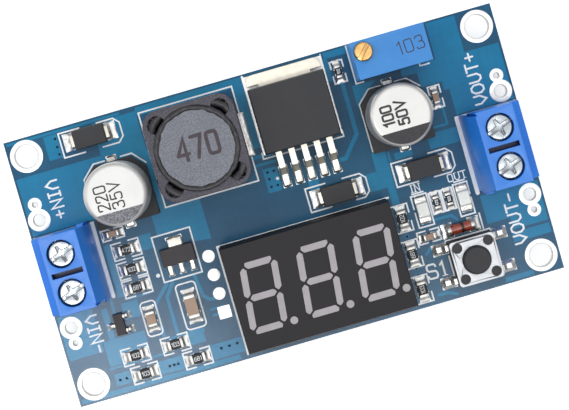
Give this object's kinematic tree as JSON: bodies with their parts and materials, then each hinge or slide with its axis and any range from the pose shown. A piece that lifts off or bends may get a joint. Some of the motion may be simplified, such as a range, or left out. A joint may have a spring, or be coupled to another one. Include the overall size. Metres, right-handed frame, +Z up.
{
  "type": "buck converter module",
  "caption": "Blue circuit board that steps a voltage down, with screw terminals at both ends, a ferrite inductor, can capacitors, a trimmer, a push button and a digital meter display.",
  "frame": {"origin": "middle of the four mounting holes, on the board's underside", "axes": "+X along the board from the input to the output end, +Y across it towards the trimmer's edge, +Z up out of the side that carries the parts"},
  "size_m": [0.066, 0.036, 0.0142],
  "materials": {
    "solder_mask": "satin",
    "tin": "satin",
    "terminal_blue": "satin",
    "contact_metal": "satin",
    "screw_metal": "satin",
    "display_black": "matte",
    "display_segment": "satin",
    "moulded_black": "matte",
    "trimmer_blue": "satin",
    "screw_brass": "satin",
    "can_metal": "satin",
    "ferrite": "matte",
    "winding_copper": "gloss",
    "diode_glass": "gloss",
    "resistor_black": "satin",
    "capacitor_tan": "satin",
    "lamp_white": "satin",
    "lamp_lens": "gloss"
  },
  "bodies": {
    "board": {"circuit_board": "solder_mask", "tinned_pads": "tin", "solder_joints": "tin", "input_terminal_housing": "terminal_blue", "output_terminal_housing": "terminal_blue", "input_contacts": "contact_metal", "output_contacts": "contact_metal", "display_housing": "display_black", "display_segments": "display_segment", "display_pins": "tin", "controller_chip": "moulded_black", "controller_leads": "tin", "trimmer_housing": "trimmer_blue", "trimmer_pins": "tin", "input_capacitor_can": "can_metal", "input_capacitor_base": "moulded_black", "input_capacitor_leads": "tin", "output_capacitor_can": "can_metal", "output_capacitor_base": "moulded_black", "output_capacitor_leads": "tin", "inductor_shield": "ferrite", "inductor_core": "ferrite", "inductor_winding": "winding_copper", "inductor_base": "moulded_black", "inductor_clips": "tin", "regulator_body": "moulded_black", "regulator_tab": "tin", "regulator_leads": "tin", "power_diode_bodies": "moulded_black", "power_diode_leads": "tin", "signal_diode_glass": "diode_glass", "signal_diode_caps": "tin", "meter_regulator_body": "moulded_black", "meter_regulator_leads": "tin", "transistor_body": "moulded_black", "transistor_leads": "tin", "resistor_bodies": "resistor_black", "resistor_ends": "tin", "ceramic_capacitor_bodies": "capacitor_tan", "ceramic_capacitor_ends": "tin", "lamp_bases": "lamp_white", "lamp_lenses": "lamp_lens", "lamp_ends": "tin", "button_housing": "moulded_black", "button_cover": "contact_metal", "button_dome": "contact_metal", "button_leads": "tin"},
    "button": {"button_plunger": "moulded_black"},
    "trimmer": {"trimmer_screw": "screw_brass"},
    "input_positive_clamp_body": {"input_positive_clamp": "contact_metal"},
    "input_positive_screw_body": {"input_positive_screw": "screw_metal"},
    "input_negative_clamp_body": {"input_negative_clamp": "contact_metal"},
    "input_negative_screw_body": {"input_negative_screw": "screw_metal"},
    "output_positive_clamp_body": {"output_positive_clamp": "contact_metal"},
    "output_positive_screw_body": {"output_positive_screw": "screw_metal"},
    "output_negative_clamp_body": {"output_negative_clamp": "contact_metal"},
    "output_negative_screw_body": {"output_negative_screw": "screw_metal"}
  },
  "joints": [
    {"name": "button_press", "type": "slide", "parent": "board", "child": "button", "axis": [0, 0, 1], "range_m": [-0.00025, 0], "stiffness_N_per_m": 8000, "deforming": ["button_dome"]},
    {"name": "trimmer_turn", "type": "hinge", "parent": "board", "child": "trimmer", "pos_m": [0.01482, 0.01628, 0.011], "axis": [0, 0, 1], "continuous": true},
    {"name": "input_positive_clamp_slide", "type": "slide", "parent": "board", "child": "input_positive_clamp_body", "axis": [0, 0, 1], "range_m": [-0.00225, 0]},
    {"name": "input_positive_screw_turn", "type": "hinge", "parent": "input_positive_clamp_body", "child": "input_positive_screw_body", "pos_m": [-0.0287, 0.00244, 0.01], "axis": [0, 0, 1], "range_deg": [-1800, 0]},
    {"name": "input_negative_clamp_slide", "type": "slide", "parent": "board", "child": "input_negative_clamp_body", "axis": [0, 0, 1], "range_m": [-0.00225, 0]},
    {"name": "input_negative_screw_turn", "type": "hinge", "parent": "input_negative_clamp_body", "child": "input_negative_screw_body", "pos_m": [-0.0287, -0.00264, 0.01], "axis": [0, 0, 1], "range_deg": [-1800, 0]},
    {"name": "output_positive_clamp_slide", "type": "slide", "parent": "board", "child": "output_positive_clamp_body", "axis": [0, 0, 1], "range_m": [-0.00225, 0]},
    {"name": "output_positive_screw_turn", "type": "hinge", "parent": "output_positive_clamp_body", "child": "output_positive_screw_body", "pos_m": [0.0287, 0.00244, 0.01], "axis": [0, 0, 1], "range_deg": [-1800, 0]},
    {"name": "output_negative_clamp_slide", "type": "slide", "parent": "board", "child": "output_negative_clamp_body", "axis": [0, 0, 1], "range_m": [-0.00225, 0]},
    {"name": "output_negative_screw_turn", "type": "hinge", "parent": "output_negative_clamp_body", "child": "output_negative_screw_body", "pos_m": [0.0287, -0.00264, 0.01], "axis": [0, 0, 1], "range_deg": [-1800, 0]}
  ],
  "couplings": [
    {"joint": "input_positive_screw_turn", "follows": "input_positive_clamp_slide", "rad_per_m": 13963},
    {"joint": "input_negative_screw_turn", "follows": "input_negative_clamp_slide", "rad_per_m": 13963},
    {"joint": "output_positive_screw_turn", "follows": "output_positive_clamp_slide", "rad_per_m": 13963},
    {"joint": "output_negative_screw_turn", "follows": "output_negative_clamp_slide", "rad_per_m": 13963}
  ]
}
